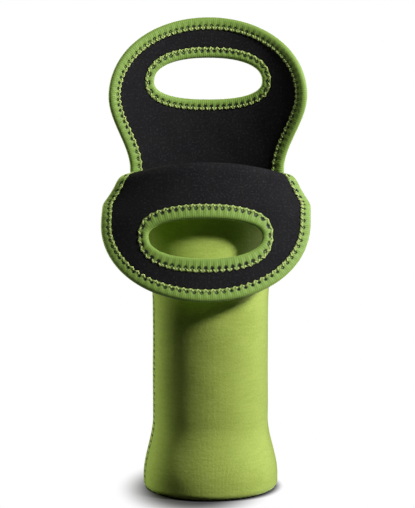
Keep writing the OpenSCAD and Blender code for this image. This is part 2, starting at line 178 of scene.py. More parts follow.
def wall_point(side, t, z, d):
    """Place on the wall: t from -1 at the left seam to 1 at the right one, z up, d into the cloth."""
    half_w = SLEEVE_R + foot_flare(z) + (MOUTH_HALF_W - SLEEVE_R) * neck_share(z)
    half_d = SLEEVE_R + foot_flare(z) + (MOUTH_HALF_D - SLEEVE_R) * neck_share(z)
    apart = MOUTH_SPLIT * smooth((z - MOUTH_H + SPLIT_H) / SPLIT_H)
    widest = 2 * np.arctan((half_d - apart) / half_w)
    r = half_w / np.sin(widest)
    c = r * np.cos(widest) - apart
    edge = np.minimum(widest, np.arccos(np.minimum(1, (c + SEAM_GAP) / (r - d))))
    a = t * edge
    x, y = turned((r - d) * np.sin(a), side * ((r - d) * np.cos(a) - c), z)
    rise = FOLD_RISE - FOLD_ARCH * t * t if side == FRONT else 0
    lifted = z + rise * smooth((z - MOUTH_H + ARCH_FROM) / ARCH_FROM)
    return np.stack([x + ASIDE * neck_share(z), y, lifted], -1)


def foot_point(side, t, q, d):
    """Place on the rounded foot: q from pi/2 under the foot to 0 where the wall starts."""
    r = FOOT_R - FOOT_EDGE_R + (FOOT_EDGE_R - d) * np.cos(q)
    z = FOOT_EDGE_R - (FOOT_EDGE_R - d) * np.sin(q)
    a = t * np.minimum(math.pi / 2, np.arccos(np.minimum(1, SEAM_GAP / r)))
    x, y = turned(r * np.sin(a), side * r * np.cos(a), z)
    return np.stack([x, y, z], -1)


def wall_at(v):
    """Height on the wall, and half the way round it from seam to seam, at a length up the panel."""
    z = np.maximum(v - UNDER_V, 0) + FOOT_EDGE_R
    return z, (SLEEVE_R + foot_flare(z)) * math.pi / 2


def sleeve_point(side, t, v, d):
    """Both parts in one: v is the length up the panel from the seam under the foot."""
    q = np.clip((UNDER_V - v) / FOOT_EDGE_R, 0, math.pi / 2)
    z, _ = wall_at(v)
    return np.where((v < UNDER_V)[..., None], foot_point(side, t, q, d), wall_point(side, t, z, d))

# %% Flap surface
def plan_r(side, h):
    k = smooth(h / WIDE_H)
    return 1 / (1 / MOUTH_R + (1 / FLAP_WIDE_R[side] - 1 / MOUTH_R) * k)


def back_face(u, h):
    a = u / plan_r(BACK, h)
    y = MOUTH_HALF_D - plan_r(BACK, h) * (1 - np.cos(a)) + BACK_LEAN * h * np.abs(h) / FLAP_H**2
    aside = ASIDE + BACK_ASIDE * smooth(h / FLAP_H)
    return np.stack([plan_r(BACK, h) * np.sin(a) + aside, y, MOUTH_H + h], -1)


def front_face(u, h):
    r = plan_r(FRONT, h)
    a = u / r
    flat = smooth((h - ROOT_H[FRONT]) / (WIDE_H - ROOT_H[FRONT]))
    drop = FOLD_ARCH * (u / MOUTH_HALF_ARC) ** 2 * (1 - STRAIGHTEN * flat)
    bent = np.clip((h - FOLD_RISE) / FOLD_MID_R, 0, FOLD_TURN)
    past = np.maximum(0, h - ROOT_H[FRONT])
    short = np.maximum(0, FOLD_RISE - h)
    y = -MOUTH_HALF_D + r * (1 - np.cos(a)) - FOLD_R * (1 - np.cos(bent)) - past * math.sin(HANG)
    z = MOUTH_H + FOLD_RISE - drop - short + FOLD_R * np.sin(bent) - past * math.cos(HANG)
    aside = ASIDE + FRONT_ASIDE * smooth((h - ROOT_H[FRONT]) / FRONT_ASIDE_OVER)
    return np.stack([r * np.sin(a) + aside, y, z], -1)


def unit(v):
    return v / np.linalg.norm(v, axis=-1, keepdims=True)


def flap_point(side, u, h, d):
    """Place at depth d under a flap's green face, along that face's own normal."""
    face = front_face if side == FRONT else back_face
    across = face(u + 0.2, h) - face(u - 0.2, h)
    along = face(u, h + 0.2) - face(u, h - 0.2)
    return face(u, h) + np.asarray(d)[..., None] * unit(np.cross(along, across)) * -side


def pattern_half_w(side, h):
    k = smooth((h - FLARE_START_H[side]) / (FLARE_END_H[side] - FLARE_START_H[side]))
    return MOUTH_HALF_ARC + (FLAP_HALF_W - MOUTH_HALF_ARC) * k


crest = flap_point(FRONT, 0.0, FOLD_RISE + FOLD_MID_R * math.pi / 2, PANEL_T)
print("top of the fold", np.round(crest, 1))

# %% [markdown]
# ## Meshes from grids
# Every piece here is a grid of points with a length along each side. One helper turns two grids,
# a face and its back, into a closed slab of cloth, and a second one turns a grid that closes
# on itself into a band or a thread. Closed pieces can also be printed. The pattern's own
# lengths go into the UV map, so a knit has the same scale everywhere. Values that a finish
# needs at each point, such as the distance to a needle hole, are stored as named attributes.

# %% From points to a piece
def make_mesh(name, points, faces, uv, body=None, slot=None, normals=None, marks=None):
    mesh = bpy.data.meshes.new(name)
    mesh.from_pydata((points * MM).tolist(), [], faces)
    mesh.polygons.foreach_set("use_smooth", np.ones(len(faces), bool))
    loops = np.empty(len(mesh.loops), np.int32)
    mesh.loops.foreach_get("vertex_index", loops)
    layer = mesh.uv_layers.new(name="pattern")
    layer.data.foreach_set("uv", (uv[loops] * MM).astype(np.float32).ravel())
    for mark, values in (marks or {}).items():
        store = mesh.attributes.new(mark, "FLOAT", "POINT")
        store.data.foreach_set("value", np.asarray(values, np.float32).ravel())
    mesh.update()
    if normals is not None:
        mesh.normals_split_custom_set_from_vertices(normals.tolist())
    piece = bpy.data.objects.new(name, mesh)
    bpy.context.scene.collection.objects.link(piece)
    if slot:
        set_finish(piece, slot)
    if body:
        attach(piece, body)
    return piece

# %% Faces and normals of a grid
def quads(rows, cols, ring=False, wrap=False):
    """Faces of a grid. ring joins its last column to its first, wrap its last row to its first."""
    row_count, col_count = (rows if wrap else rows - 1), (cols if ring else cols - 1)
    r, c = np.divmod(np.arange(row_count * col_count), col_count)
    up, right = (r + 1) % rows, (c + 1) % cols
    return np.stack([r * cols + c, r * cols + right, up * cols + right, up * cols + c], 1)


def grid_normals(grid, ring=False):
    along = np.gradient(grid, axis=0)
    across = np.roll(grid, -1, 1) - np.roll(grid, 1, 1) if ring else np.gradient(grid, axis=1)
    return unit(np.cross(across, along)).reshape(-1, 3)


def inside_out(points, faces):
    """True where the faces of a closed piece look inward, from the sign of its volume."""
    fans = np.array([(f[0], f[k], f[k + 1]) for f in faces for k in range(1, len(f) - 1)])
    a, b, c = points[fans].swapaxes(0, 1)
    return np.einsum("ij,ij->", a, np.cross(b, c)) < 0

# %% Slabs and tubes
def there_and_back(face, back):
    """Rows of the face, and then those of the back from the last to the first."""
    return np.concatenate([face, back[::-1]])


def slab(name, face, back, uv, ring=False, marks=None, **rest):
    """Closed sheet between two grids of the same shape. ring joins the last column to the first."""
    rows, cols = face.shape[:2]
    faces = quads(2 * rows, cols, ring, wrap=True)
    if not ring:
        r = np.arange(rows - 1)
        end = np.stack([r, r + 1, 2 * rows - 2 - r, 2 * rows - 1 - r], 1) * cols
        faces = np.concatenate([faces, end, end[:, ::-1] + cols - 1])
    points = there_and_back(face, back).reshape(-1, 3)
    normals = np.concatenate([grid_normals(face, ring), grid_normals(back[::-1], ring)])
    if inside_out(points, faces):
        faces, normals = faces[:, ::-1], -normals
    uv = there_and_back(uv, uv).reshape(-1, 2)
    marks = {k: there_and_back(v, v) for k, v in (marks or {}).items()}
    return make_mesh(name, points, faces.tolist(), uv, normals=normals, marks=marks, **rest)


def two_layers(name, grids, uv, marks=(None, None), ending="", **rest):
    """Green and black layer of a panel: slabs between its first two and its last two grids."""
    green = slab(f"{name}_jersey{ending}", *grids[:2], uv, marks=marks[0], slot="green_jersey", **rest)
    black = slab(f"{name}_inside{ending}", *grids[-2:], uv, marks=marks[1], slot="black_jersey", **rest)
    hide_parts(f"{name}_shell")
    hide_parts(f"{name}_lining")
    return green, black


def tube(name, grid, uv, ring=False, marks=None, **rest):
    """Closed band: rows go round the section, columns go along the path, which ring closes too."""
    rows, cols = grid.shape[:2]
    faces = quads(rows, cols, ring, wrap=True).tolist()
    points, flat = grid.reshape(-1, 3), uv.reshape(-1, 2)
    values = {k: np.asarray(v, float).ravel() for k, v in (marks or {}).items()}
    if not ring:
        n = len(points)
        r = (np.arange(rows) * cols).tolist()
        following = r[1:] + r[:1]
        points = np.concatenate([points, grid[:, [0, -1]].mean(0)])
        flat = np.concatenate([flat, flat[[0, cols - 1]]])
        values = {k: np.concatenate([v, v[[0, cols - 1]]]) for k, v in values.items()}
        faces += [[a, b, n] for a, b in zip(r, following)]
        faces += [[b + cols - 1, a + cols - 1, n + 1] for a, b in zip(r, following)]
    if inside_out(points, faces):
        faces = [f[::-1] for f in faces]
    return make_mesh(name, points, faces, flat, marks=values, **rest)

# %% [markdown]
# ## The sleeve
# The two sleeve panels are sewn edge to edge, so the foam's edges press together and the green
# face dips into a fine groove along each side seam and round the foot. Here the depth of the
# outer face grows near a seam. A crease in a subdivision mesh could do it as well, but the
# formula keeps the groove at one width along the curved seam. The foam swells between the seams,
# and it is never quite even, so a few long low waves move the face by a fraction of a millimetre.

# %% Uneven foam
def waves(u, v, phase):
    """Soft unevenness of the foam, from -1 to 1. Its wavelengths don't line up, so it never repeats."""
    return (
        np.sin(u / 13.1 + 1.7 * np.sin(v / 31.0 + phase) + phase)
        + np.sin(v / 17.3 + 1.3 * np.sin(u / 23.0 - phase) + 2.1 * phase)
        + 0.6 * np.sin((u + v) / 7.9 + phase * 3)
    ) / 2.6

# %% Sleeve panels
SEAM_PITCH, SEAM_START_V = 4.9, 5.0
# The needle's lines, from the seam. Their distance is stored with an offset, so that a mesh
# without this mark, which reads as 0, is far from any hole.
NEEDLE_OFF_SEAM, FAR_OFF = 3.0, 50.0
# The waves and the swelling grow over these lengths from the seams, and fade towards the mouth.
SLEEVE_WAVE, WAVE_SIDE, WAVE_END = 0.28, 8.0, 20.0
FOAM_SWELL, SWELL_SIDE, SWELL_FROM, SWELL_FOOT, SWELL_MOUTH = 0.8, 6.0, 1.5, 7.0, 40.0
SIDE_GROOVE, SIDE_GROOVE_W = 0.75, 1.0
BASE_GROOVE, BASE_GROOVE_W = 0.65, 3.2
# The side groove fades from this far below the mouth, over the second length.
GROOVE_END, GROOVE_FADE = 16.0, 14.0
PATTERN_HALF_W = 72.0
# The grid's rows are closer together on the foot's rounded edge, up to this length.
EDGE_V, EDGE_ROWS, SLEEVE_ROWS, SLEEVE_COLS = 13.0, 16, 150, 113
# Share of even spacing in the grid's columns. The rest crowds them towards the seams.
EVEN_SHARE = 0.35


def sleeve_grids(side):
    s = np.linspace(-1, 1, SLEEVE_COLS)
    t = EVEN_SHARE * s + (1 - EVEN_SHARE) * np.sin(s * math.pi / 2)
    edge_v = np.linspace(0, EDGE_V, EDGE_ROWS)[:-1]
    v, t = np.meshgrid(np.append(edge_v, np.linspace(EDGE_V, SLEEVE_V, SLEEVE_ROWS)), t, indexing="ij")
    z, girth = wall_at(v)
    seam_mm = (1 - np.abs(t)) * girth
    side_groove = SIDE_GROOVE * np.exp(-((seam_mm / SIDE_GROOVE_W) ** 2))
    base_groove = BASE_GROOVE * np.exp(-((v / BASE_GROOVE_W) ** 4))
    groove = side_groove * (1 - smooth((z - MOUTH_H + GROOVE_END) / GROOVE_FADE)) + base_groove
    calm = smooth(seam_mm / WAVE_SIDE) * smooth(v / WAVE_END) * smooth((SLEEVE_V - v) / WAVE_END)
    soft = SLEEVE_WAVE * waves(t * PATTERN_HALF_W, v, side) * calm
    full = FOAM_SWELL * smooth(seam_mm / SWELL_SIDE) * smooth((v - SWELL_FROM) / SWELL_FOOT)
    full = full * smooth((SLEEVE_V - v) / SWELL_MOUTH)
    grids = [sleeve_point(side, t, v, d + 0 * t) for d in (groove - soft - full, SHELL_D, PANEL_T)]
    uv = np.stack([t * PATTERN_HALF_W, v], -1)
    row = (v - SEAM_START_V) / SEAM_PITCH + (0 if side == FRONT else 0.5)
    return grids, uv, {"needle_side": FAR_OFF + seam_mm - NEEDLE_OFF_SEAM, "needle_row": row}


for side, word in SIDES:
    grids, uv, marks = sleeve_grids(side)
    green, _ = two_layers(f"{word}_sleeve", grids, uv, (marks, None), body="sleeve")
    print(green.name, len(green.data.polygons), "faces")

# %% [markdown]
# ## The base
# The sleeve stands on a round base panel, sewn to the rounded foot with the same flat zigzag.
# It is a disc with its rim eased into the seam's groove. The same tube makes it: rows go round
# the disc, and each column runs out under it, up over its rim and back to the centre.

# %% Base panel
BASE_R = FOOT_R - FOOT_EDGE_R
# First radius, last radius and number of the disc's rings. Near the rim they lie closer together.
DISC_RINGS, DISC_STEPS = ((0.6, 38.0, 20), (39.5, BASE_R - SEAM_GAP, 12)), 144


def disc(name, low_d, high_d, groove, replaced, slot_name):
    ring_r = np.concatenate([np.linspace(*rings) for rings in DISC_RINGS])
    under = low_d + groove * np.exp(-(((BASE_R - ring_r) / BASE_GROOVE_W) ** 4))
    r = np.append(ring_r, ring_r[::-1])
    z = np.append(under, np.full_like(ring_r, high_d))
    angle = (np.arange(DISC_STEPS) * 2 * math.pi / DISC_STEPS)[:, None]
    grid = np.stack([r * np.cos(angle), r * np.sin(angle), z + 0 * angle], -1)
    piece = tube(name, grid, grid[..., :2], slot=slot_name, body="sleeve")
    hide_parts(replaced)
    return piece


base_jersey = disc("base_jersey", 0.0, SHELL_D, BASE_GROOVE, "base_shell", "green_jersey")
disc("base_inside", SHELL_D, PANEL_T, 0.0, "base_lining", "black_jersey")
print("base", round(2 * BASE_R, 1), "mm across the seam")

# %% [markdown]
# ## The flaps
# Each flap's pattern widens from the mouth to a rounded top, with a hand hole like a wide
# ellipse. The grid runs in rings from the hole to the outline, so both edges are exact and the
# bindings can follow them. The front flap starts where its fold ends. The back flap is one with
# its panel and only bends at the mouth, so it blends there between the sleeve and the flap.

# %% Outlines of a flap and its hole
GRIP_LINE_H, GRIP_HALF_W = 80.0, 45.5
GRIP_UP_H, GRIP_DOWN_H = 19.0, {FRONT: 14.4, BACK: 16.0}
# The outline of the hole is a superellipse, and this power makes it a little squarer than round.
GRIP_POWER = 2.3
# Share of the outline's parameter that each of its two widening sides takes.
FLARE_SHARE = 0.18


def outline(side, t, low=None):
    """Cut edge of a flap as t goes from 0 at the left root, or from the height low, to 1 at the right."""
    low = ROOT_H[side] if low is None else low
    t = np.asarray(t, float)
    rise = np.minimum(t, 1 - t) / FLARE_SHARE
    h = low + (WIDE_H - low) * np.minimum(rise, 1)
    a = math.pi * ((t - FLARE_SHARE) / (1 - 2 * FLARE_SHARE) - 0.5)
    flare = np.sign(t - 0.5) * pattern_half_w(side, h)
    u = np.where(rise < 1, flare, FLAP_HALF_W * np.sin(a))
    h = np.where(rise < 1, h, WIDE_H + FLAP_ROUND_H[side] * np.cos(a))
    return np.stack([u, h], -1)


def grip_outline(side, a):
    up = np.where(np.sin(a) > 0, GRIP_UP_H, GRIP_DOWN_H[side])
    sum_up = (np.abs(np.cos(a)) / GRIP_HALF_W) ** GRIP_POWER + (np.abs(np.sin(a)) / up) ** GRIP_POWER
    r = sum_up ** (-1 / GRIP_POWER)
    return np.stack([r * np.cos(a), GRIP_LINE_H + r * np.sin(a)], -1)

# %% Paths along the edges
# Over this length from a root, the band turns from level to square with the edge.
ROOT_TURN = 22.5
PATH_STEP, DENSE_EDGE, DENSE_GRIP = 0.45, 5001, 4001


def along_path(q, s, values):
    """Pairs of values at the lengths q of a path, from those at its lengths s."""
    return np.stack([np.interp(q, s, values[:, k]) for k in (0, 1)], -1)


def even_path(points, closed=False):
    """Evenly spaced points on a dense line, and the unit vector to the right of its direction."""
    gaps = np.linalg.norm(np.diff(points, axis=0), axis=1)
    length = np.concatenate([[0], np.cumsum(gaps)])
    n = int(round(length[-1] / PATH_STEP))
    s = np.linspace(0, length[-1], n + 1)
    p = along_path(s, length, points)
    if closed:
        p, s = p[:-1], s[:-1]
        v = np.roll(p, -3, 0) - np.roll(p, 3, 0)
    else:
        v = np.gradient(p, axis=0)
    return p, s, unit(np.stack([v[:, 1], -v[:, 0]], -1)), length[-1]


def edge_path(side, low):
    """Cut edge of a flap. At the roots the band's inward direction is level, so it meets the fold."""
    p, s, right, total = even_path(outline(side, np.linspace(0, 1, DENSE_EDGE), low))
    level = np.stack([-np.sign(p[:, 0]), 0 * s], -1)
    k = smooth(np.minimum(s, total - s) / ROOT_TURN)[:, None]
    return p, s, unit(level * (1 - k) + right * k), total


def grip_path(side):
    a = -2 * math.pi * np.linspace(0, 1, DENSE_GRIP)
    p, s, right, total = even_path(grip_outline(side, a), closed=True)
    return p, s, -right, total

# %% Where the needle goes
EDGE_BAND_W, GRIP_BAND_W = 8.5, {FRONT: 8.0, BACK: 7.0}
EDGE_PITCH, GRIP_PITCH = {FRONT: 6.0, BACK: 5.2}, 4.9
# Extra width of the hand hole's band where its edge is upright, and where it is level.
GRIP_MORE = {FRONT: (-1.2, 2.3), BACK: (0.0, 0.3)}
# Each band has one line of holes this far inside its lip, and the panel one beside the lip.
NEEDLE_IN, NEEDLE_OUT = 2.7, -0.05
BAND_LOW = {FRONT: ROOT_H[FRONT], BACK: -2.5}


def even_pitch(total, wished):
    return total / round(total / wished)


def wider(path, more):
    """Extra width of a band along its path: more[0] where the edge is upright, more[1] where level."""
    return more[0] + (more[1] - more[0]) * path[2][:, 1] ** 2


def nearest_row(p, path, wished, w, more=(0.0, 0.0)):
    """Distance of pattern places from a band's outer line of holes, and their count along it."""
    line, s, _, total = path
    apart = np.linalg.norm(p[:, None] - line[None, ::2], axis=-1)
    at = apart.argmin(1)
    width = w + wider(path, more)[::2][at]
    return apart[np.arange(len(p)), at] - width - NEEDLE_OUT, s[::2][at] / even_pitch(total, wished) + 0.5


def panel_marks(side, p):
    flat, shape = p.reshape(-1, 2), p.shape[:2]
    edge, grip = edge_path(side, BAND_LOW[side]), grip_path(side)
    edge_off, edge_row = nearest_row(flat, edge, EDGE_PITCH[side], EDGE_BAND_W)
    grip_off, grip_row = nearest_row(flat, grip, GRIP_PITCH, GRIP_BAND_W[side], GRIP_MORE[side])
    near_edge = np.abs(edge_off) < np.abs(grip_off)
    return {
        "needle_side": FAR_OFF + np.where(near_edge, edge_off, grip_off).reshape(shape),
        "needle_row": np.where(near_edge, edge_row, grip_row).reshape(shape),
    }

# %% Flap panels
FLAP_WAVE = 0.3
EDGE_POINTS, ROOT_POINTS, FLAP_RINGS = 361, 90, 45


def flap_grids(side):
    edge = outline(side, np.linspace(0, 1, EDGE_POINTS))
    root_u = np.linspace(edge[-1, 0], -edge[-1, 0], ROOT_POINTS)[1:-1]
    root = np.stack([root_u, np.full_like(root_u, ROOT_H[side])], -1)
    loop = np.concatenate([edge, root])
    hole = grip_outline(side, np.arctan2(loop[:, 1] - GRIP_LINE_H, loop[:, 0]))
    share = np.linspace(0, 1, FLAP_RINGS)[:, None, None]
    p = hole + (loop - hole) * share
    u, h = p[..., 0], p[..., 1]
    inset = np.minimum(share[..., 0], 1 - share[..., 0]) + 0 * u
    soft = FLAP_WAVE * waves(u, h, side * 2.2) * smooth(inset * 5)
    grids = [flap_point(side, u, h, d) for d in (-soft, SHELL_D + 0 * u, PANEL_T + soft * 0.9)]
    return grids, p, panel_marks(side, p)


flap_pieces = {}
for side, word in SIDES:
    grids, uv, marks = flap_grids(side)
    body = "front_flap" if side == FRONT else None
    flap_pieces[word] = two_layers(f"{word}_flap", grids, uv, (marks, marks), ring=True, body=body)
    print(word, "flap", len(flap_pieces[word][0].data.polygons), "faces")

# %% [markdown]
# ## The fold of the front flap
# A folded sheet of foam cloth bends on a small radius over its own thickness. The fold is a strip
# between the sleeve and the hanging flap. The mouth is an arc, so the strip is made in six parts
# side by side. The strip is also two thin skins, green outside and black inside, because the two
# faces of one thick slab would cut through each other as they turn on the same small radius.

# %% Fold strips
SKIN_T = 0.5
# Where a skin or the band begins to turn, in mm out of the mouth, and over what length.
GREEN_TURN, BAND_TURN = (0.5, 6.7), (0.9, 6.0)
BLACK_TURNS = [BAND_TURN, (-1.6, 8.0), (-3.8, 9.8), (-3.8, 9.8), (-1.6, 8.0), BAND_TURN]
FOLD_PARTS, FOLD_ROWS, FOLD_COLS = len(BLACK_TURNS), 30, 16
FOLD_CUTS = np.linspace(-MOUTH_HALF_ARC, MOUTH_HALF_ARC, FOLD_PARTS + 1)
# Length over which the strip's sides go from the mouth's arc to the edge of the flap.
STRIP_EASE = 8.0


def bend_strip(piece, u_low, u_high, turn):
    """Bake a piece of the fold into place. Where its turn would start and end, square to the chord of its
    own stretch of the mouth, is worked out but not used.
    """
    begin, length = turn
    a, r = np.array([u_low, u_high]) / MOUTH_R, MOUTH_R + begin
    x, y = ASIDE + r * np.sin(a), MOUTH_R - MOUTH_HALF_D - r * np.cos(a)
    out = unit(np.array([y[1] - y[0], x[0] - x[1], 0.0]))
    level = out[0] * x[0] + out[1] * y[0]
    start, end = out * level * MM, out * (level + length) * MM
    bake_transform(piece)


def strip_half_w(h):
    ease = smooth((h - FOLD_RISE) / STRIP_EASE)
    return MOUTH_HALF_ARC + (pattern_half_w(FRONT, h) - MOUTH_HALF_ARC) * ease


rows = np.linspace(FOLD_RISE, ROOT_H[FRONT], FOLD_ROWS)
h, share = np.meshgrid(rows, np.linspace(0, 1, FOLD_COLS), indexing="ij")
for part in range(FOLD_PARTS):
    low = -strip_half_w(h) if part == 0 else FOLD_CUTS[part]
    high = strip_half_w(h) if part == FOLD_PARTS - 1 else FOLD_CUTS[part + 1]
    u = low + (high - low) * share
    uv = np.stack([u, h], -1)
    layers = [flap_point(FRONT, u, h, d + 0 * u) for d in (0, SKIN_T, PANEL_T - SKIN_T, PANEL_T)]
    green, black = two_layers("front_fold", layers, uv, ending=f"_{part + 1}")
    for piece, turn in ((green, GREEN_TURN), (black, BLACK_TURNS[part])):
        bend_strip(piece, FOLD_CUTS[part], FOLD_CUTS[part + 1], turn)
print("fold", FOLD_PARTS, "parts of", len(green.data.polygons), "faces")

# %% [markdown]
# ## The bindings
# A strip of green jersey is rolled round every cut edge and sewn down through all layers, so it
# stands out as a round soft roll with a thin lip. The needle pulls it in at each hole, its lip
# runs in small scallops from stitch to stitch, and its open ends are rounded off. On the front
# hand hole the band is wider above and below than at the ends. A curve with a bevel would give
# the roll, but not the lip or the holes, so the section is written out and carried along the
# pattern's edge, and each point is set down at its place on the flap.

# %% Section of a band
BAND_H, LIP_EASE = 0.85, 3.4
GROOVE_D, GROOVE_W = 0.22, 1.0
# The roll round the cut edge: its middle lies this deep in the panel and from the edge, then its radii.
ROLL_AT, ROLL_REACH, ROLL_H = 1.9, 2.95, 0.83
TUCK = 0.04


def band_height(x, w):
    """How far the band stands over the cloth at distance x from the cut edge."""
    body = BAND_H * np.sqrt(np.clip(1 - smooth((x - w + LIP_EASE) / LIP_EASE), 0, 1))
    groove = GROOVE_D * np.exp(-(((x - w + NEEDLE_IN) / GROOVE_W) ** 2))
    return np.where(x < w, body - groove, 0.0)


def band_section(w):
    """Round the section: over the green face, round the edge, over the black face, back inside."""
    lip = w - np.array([0, 0.15, 0.4, 0.8, 1.2, 1.6, 2.0, 2.4, 2.8, 3.2, 3.7])
    flat_x = np.append(lip, np.linspace(w - 4.3, ROLL_AT, 3))
    turn = np.linspace(0, math.pi, 13)[1:-1]
    roll_x = ROLL_AT - ROLL_REACH * np.sin(turn)
    roll_d = ROLL_AT - (ROLL_AT + ROLL_H) * np.cos(turn)
    inside_x = [w - 0.02, w / 2, TUCK, TUCK, w / 2, w - 0.02]
    inside_d = [PANEL_T - 0.01, PANEL_T + TUCK, PANEL_T + TUCK, -TUCK, -TUCK, 0.01]
    x = np.concatenate([flat_x, roll_x, flat_x[::-1], inside_x])
    over_d = PANEL_T + band_height(flat_x[::-1], w)
    d = np.concatenate([-band_height(flat_x, w), roll_d, over_d, inside_d])
    face = np.concatenate([np.full(len(flat_x), -1), 0 * turn, np.full(len(flat_x), 1), np.zeros(6)])
    return x, d, face

# %% A band along a path
HOLE_D, HOLE_LENGTH, SWELL_D, SCALLOP = 0.6, 1.35, 0.09, 0.12
# The scallops begin this far from the lip and are full after the second length.
SCALLOP_FROM, SCALLOP_EASE = 2.2, 1.8
# A band's extra width begins at the first place from the edge and ends at the second from the lip.
WIDER_FROM, WIDER_TO = 1.5, 2.7
# The swelling ends this far inside the lip. A thread comes down as far outside it, over LIP_DROP.
TIP_LENGTH, LIP_REACH, LIP_DROP = 2.6, 0.5, 0.9


def near_hole(x, s, w, pitch, reach):
    """Closeness to a needle hole in the band, from 0 to 1. reach is its size across the band."""
    off = (s + pitch / 2) % pitch - pitch / 2
    aside = x - w + NEEDLE_IN
    return np.exp(-((off / HOLE_LENGTH) ** 2 + (aside / reach) ** 2))


def rounded(length):
    """Share of the full section at a length from a band's free end."""
    k = 1 - np.clip(length / TIP_LENGTH, 0.0, 1.0)
    return np.sqrt(np.maximum(1 - k * k, 0.03))


def band(name, side, path, w, pitch, ring=False, s_from=0.0, reach=1.2, more=(0, 0), tip=1.0, **rest):
    """Rolled strip of width w along a path. s_from is where the count of its stitches starts."""
    p, s, inward, _ = path
    x, d, face = band_section(w)
    along, sewn = (s + s_from)[None, :], np.abs(face)[:, None]
    # The mark is the closeness to a needle hole: it pulls the band in, and its finish paints shade there.
    hole = near_hole(x[:, None], along, w, pitch, reach) * sewn
    beat = np.cos(2 * math.pi * along / pitch)
    pulled = HOLE_D * hole + SWELL_D * beat * sewn * (x[:, None] < w - LIP_REACH)
    depth = d[:, None] - face[:, None] * pulled
    scallop = SCALLOP * beat * smooth((x - w + SCALLOP_FROM) / SCALLOP_EASE)[:, None]
    extra = smooth((x - WIDER_FROM) / (w - WIDER_FROM - WIDER_TO))[:, None] * wider(path, more)
    across = w / 2 + (x[:, None] - scallop + extra - w / 2) * tip
    depth = PANEL_T / 2 + (depth - PANEL_T / 2) * tip
    at = p + across[..., None] * inward
    girth = np.cumsum(np.hypot(*np.gradient(np.stack([x, d]), axis=1)))[:, None]
    uv = np.stack(np.broadcast_arrays(along, girth), -1)
    grid = flap_point(side, at[..., 0], at[..., 1], depth)
    return tube(name, grid, uv, ring=ring, marks={"hole": hole}, slot="binding", **rest)

# %% [markdown]
# ## The threads
# A flat zigzag runs over the lip of each band. One leg of it goes from a hole in the band out to
# the panel, and the next comes back. A thread is a thin tube with six sides, and its height over
# the cloth is given at seven places of each leg, so it dives where the needle went through.

# %% Zigzag thread
THREAD_SIDES = 6
# Lengths of the pattern to a millimetre along the thread, and to a radian round it.
PLY_ALONG, PLY_ROUND = 2.2, 0.35
LEG_PLACES = np.array([0, 0.1, 0.26, 0.42, 0.58, 0.74, 0.9])
EVEN_LIFT = [-0.62, 0.02, 0.27, 0.34, 0.34, 0.27, 0.02]
HOLE_LIFT = [-1.0, -0.85, -0.40, 0.10, 0.26, 0.30, 0.22]
BORDER_LIFT = [0.10, 0.22, 0.30, 0.26, 0.10, -0.40, -0.85]


def thread(name, place, legs, pitch, lifts=(EVEN_LIFT, EVEN_LIFT), size=(0.5, 0.32), ring=False, **rest):
    """place(s, step, height) gives points. step runs from 0 to 1 and back, size is half the thread."""
    s = (np.arange(legs)[:, None] + LEG_PLACES) * pitch / 2
    forth = np.arange(legs)[:, None] % 2 == 0
    step = np.where(forth, LEG_PLACES, 1 - LEG_PLACES).ravel()
    rise = np.where(forth, np.array(lifts[0]), np.array(lifts[1])).ravel()
    s = s.ravel()
    middle = place(s, step, rise)
    up = unit(place(s, step, rise + 0.4) - middle)
    along = np.roll(middle, -1, 0) - np.roll(middle, 1, 0) if ring else np.gradient(middle, axis=0)
    across = unit(np.cross(along, up))
    turn = (np.arange(THREAD_SIDES) * 2 * math.pi / THREAD_SIDES)[:, None]
    wide, high = size[0] * np.cos(turn), size[1] * np.sin(turn)
    grid = middle + wide[..., None] * across + high[..., None] * up
    uv = np.stack(np.broadcast_arrays(s * PLY_ALONG, turn * PLY_ROUND), -1)
    # The mark is 1 where the thread dives below the cloth, and its finish paints shade there.
    hole = 1 - smooth((rise + 0.45) / 0.5) + 0 * turn
    return tube(name, grid, uv, ring=ring, marks={"hole": hole}, slot="thread", **rest)


def close_ring(values, ring):
    """Values along a path, with the first one again at the end of a ring."""
    return np.concatenate([values, values[:1]]) if ring else values


def flap_thread(name, side, path, w, pitch, outside, ring=False, more=(0.0, 0.0), **rest):
    """Zigzag over a band's lip, on the green face (outside) or on the black one."""
    p, s, inward, total = path
    long_s = np.append(s, total) if ring else s
    long_p, long_in, extra = (close_ring(v, ring) for v in (p, inward, wider(path, more)))

    def at(q, step, height):
        spot, inner = along_path(q, long_s, long_p), unit(along_path(q, long_s, long_in))
        x = w - NEEDLE_IN + (NEEDLE_IN + NEEDLE_OUT) * step
        flat = spot + (x + np.interp(q, long_s, extra))[:, None] * inner
        over = band_height(x, w) * smooth((w + LIP_REACH - x) / LIP_DROP) + height
        return flap_point(side, flat[:, 0], flat[:, 1], -over if outside else PANEL_T + over)

    legs = int(2 * total / pitch + 1e-6)
    return thread(name, at, legs, pitch, (HOLE_LIFT, BORDER_LIFT), (0.66, 0.36), ring=ring, **rest)

# %% Bindings and threads of the flaps
FACES = ((True, "green"), (False, "black"))
ENDS = ((-1, "left"), (1, "right"))


def bind(name, side, path, w, pitch, body, replaced, ring=False, more=(0, 0), **rest):
    """Band along a path and its thread on both faces. Gives the three pieces."""
    pieces = [band(f"{name}_band", side, path, w, pitch, ring, more=more, body=body, **rest)]
    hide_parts(f"{replaced}_binding")
    for outside, face in FACES:
        thread_name = f"{name}_thread_{face}_side"
        piece = flap_thread(thread_name, side, path, w, pitch, outside, ring, more, body=body)
        pieces.append(piece)
    return pieces


